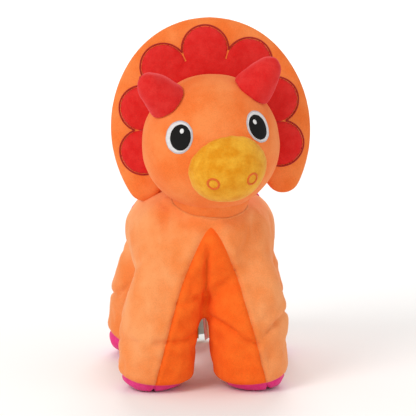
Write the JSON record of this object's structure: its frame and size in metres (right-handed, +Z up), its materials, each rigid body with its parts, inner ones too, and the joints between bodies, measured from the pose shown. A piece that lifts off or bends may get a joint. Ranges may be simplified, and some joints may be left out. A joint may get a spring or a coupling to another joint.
{
  "type": "stuffed dinosaur",
  "caption": "Soft baby dinosaur on stuffed legs, with a padded bonnet frill, stub horns, an embroidered face and a ribbon tail.",
  "frame": {"origin": "middle of the outline on the floor, under the standing toy", "axes": "+Z up, -Y the way the toy faces, +X the toy's own left"},
  "size_m": [0.1551, 0.2139, 0.2774],
  "materials": {
    "velour_orange": "short-pile velour, soft sheen",
    "fleece_orange": "brushed knitted fleece, matte",
    "velour_red": "short-pile velour, soft sheen",
    "velour_yellow": "short-pile velour, soft sheen",
    "velour_magenta": "short-pile velour, soft sheen",
    "polyester_fibre": "loose white hollow fibre",
    "thread_red": "satin-stitch embroidery thread",
    "thread_white": "satin-stitch embroidery thread",
    "thread_glint": "satin-stitch embroidery thread",
    "thread_dark": "satin-stitch embroidery thread",
    "thread_brown": "satin-stitch embroidery thread",
    "ribbon_cream": "satin ribbon",
    "ribbon_pink": "satin ribbon",
    "ribbon_blue": "satin ribbon",
    "ribbon_lime": "satin ribbon",
    "ribbon_mint": "satin ribbon",
    "ribbon_peach": "satin ribbon"
  },
  "bodies": {
    "torso": {"torso_stuffing": "polyester_fibre", "side_panel_left": "velour_orange", "side_panel_right": "velour_orange", "belly_gusset": "fleece_orange", "chest_gusset": "fleece_orange", "rump_gusset": "fleece_orange", "spots_left": "velour_magenta", "spots_right": "velour_magenta", "tail_root_tab": "ribbon_mint"},
    "neck_cup": {"neck_fibre_cup": "polyester_fibre"},
    "neck_core": {"neck_fibre_core": "polyester_fibre"},
    "head": {"head_stuffing": "polyester_fibre", "face_panel": "velour_orange", "back_of_head_panel": "velour_orange", "neck_sleeve": "velour_orange", "snout_stuffing": "polyester_fibre", "snout_cover": "velour_yellow", "nostril_rings": "thread_brown", "eye_white_left": "thread_white", "eye_white_right": "thread_white", "pupil_left": "thread_dark", "pupil_right": "thread_dark", "eye_glint_left": "thread_glint", "eye_glint_right": "thread_glint"},
    "horn_left": {"horn_left_stuffing": "polyester_fibre", "horn_left_cover": "velour_red"},
    "horn_right": {"horn_right_stuffing": "polyester_fibre", "horn_right_cover": "velour_red"},
    "frill": {"frill_batting": "polyester_fibre", "frill_front_panel": "velour_orange", "frill_back_panel": "velour_orange", "frill_petal_patch": "velour_red", "frill_petal_stitching": "thread_red"},
    "tail": {"ribbon_cream": "ribbon_cream", "ribbon_pink": "ribbon_pink", "ribbon_blue": "ribbon_blue", "ribbon_lime": "ribbon_lime", "ribbon_mint": "ribbon_mint", "ribbon_peach": "ribbon_peach"},
    "front_left_leg": {"front_left_leg_stuffing": "polyester_fibre", "front_left_leg_sole": "velour_magenta", "front_left_leg_inner_panel": "fleece_orange", "front_left_leg_outer_panel": "velour_orange"},
    "front_right_leg": {"front_right_leg_stuffing": "polyester_fibre", "front_right_leg_sole": "velour_magenta", "front_right_leg_inner_panel": "fleece_orange", "front_right_leg_outer_panel": "velour_orange"},
    "rear_left_leg": {"rear_left_leg_stuffing": "polyester_fibre", "rear_left_leg_sole": "velour_magenta", "rear_left_leg_inner_panel": "fleece_orange", "rear_left_leg_outer_panel": "velour_orange"},
    "rear_right_leg": {"rear_right_leg_stuffing": "polyester_fibre", "rear_right_leg_sole": "velour_magenta", "rear_right_leg_inner_panel": "fleece_orange", "rear_right_leg_outer_panel": "velour_orange"}
  },
  "joints": [
    {"name": "head_turn", "type": "hinge", "parent": "torso", "child": "neck_cup", "pos_m": [0.001, -0.0395, 0.15], "axis": [0, 0, 1], "range_deg": [-16, 8], "stiffness_Nm_per_rad": 0.8},
    {"name": "head_nod", "type": "hinge", "parent": "neck_cup", "child": "neck_core", "pos_m": [0.001, -0.0395, 0.15], "axis": [1, 0, 0], "range_deg": [-4, 10], "stiffness_Nm_per_rad": 0.8},
    {"name": "head_tilt", "type": "hinge", "parent": "neck_core", "child": "head", "pos_m": [0.001, -0.0395, 0.15], "axis": [0, 1, 0], "range_deg": [-2, 10], "stiffness_Nm_per_rad": 0.8},
    {"name": "frill_flex", "type": "hinge", "parent": "head", "child": "frill", "pos_m": [0.001, -0.0435, 0.187], "axis": [0.9969, -0.0435, 0.0663], "range_deg": [0, 8], "stiffness_Nm_per_rad": 0.3},
    {"name": "horn_left_bend", "type": "hinge", "parent": "head", "child": "horn_left", "pos_m": [0.03088, -0.05274, 0.22728], "axis": [-0.8103, -0.1269, 0.5721], "range_deg": [-10, 10], "stiffness_Nm_per_rad": 0.03},
    {"name": "horn_right_bend", "type": "hinge", "parent": "head", "child": "horn_right", "pos_m": [-0.03218, -0.06262, 0.22068], "axis": [-0.6776, -0.1061, -0.7277], "range_deg": [-10, 10], "stiffness_Nm_per_rad": 0.03},
    {"name": "front_left_leg_swing", "type": "hinge", "parent": "torso", "child": "front_left_leg", "pos_m": [0.024, -0.0425, 0.076], "axis": [1, 0, 0], "range_deg": [-14, 14], "stiffness_Nm_per_rad": 0.6},
    {"name": "front_right_leg_swing", "type": "hinge", "parent": "torso", "child": "front_right_leg", "pos_m": [-0.034, -0.0425, 0.076], "axis": [1, 0, 0], "range_deg": [-14, 14], "stiffness_Nm_per_rad": 0.6},
    {"name": "rear_left_leg_swing", "type": "hinge", "parent": "torso", "child": "rear_left_leg", "pos_m": [0.033, 0.0605, 0.074], "axis": [1, 0, 0], "range_deg": [-14, 14], "stiffness_Nm_per_rad": 0.6},
    {"name": "rear_right_leg_swing", "type": "hinge", "parent": "torso", "child": "rear_right_leg", "pos_m": [-0.043, 0.0605, 0.074], "axis": [1, 0, 0], "range_deg": [-14, 14], "stiffness_Nm_per_rad": 0.6},
    {"name": "tail_swing", "type": "hinge", "parent": "torso", "child": "tail", "pos_m": [-0.005, 0.102, 0.096], "axis": [1, 0, 0], "range_deg": [-6, 30]}
  ]
}
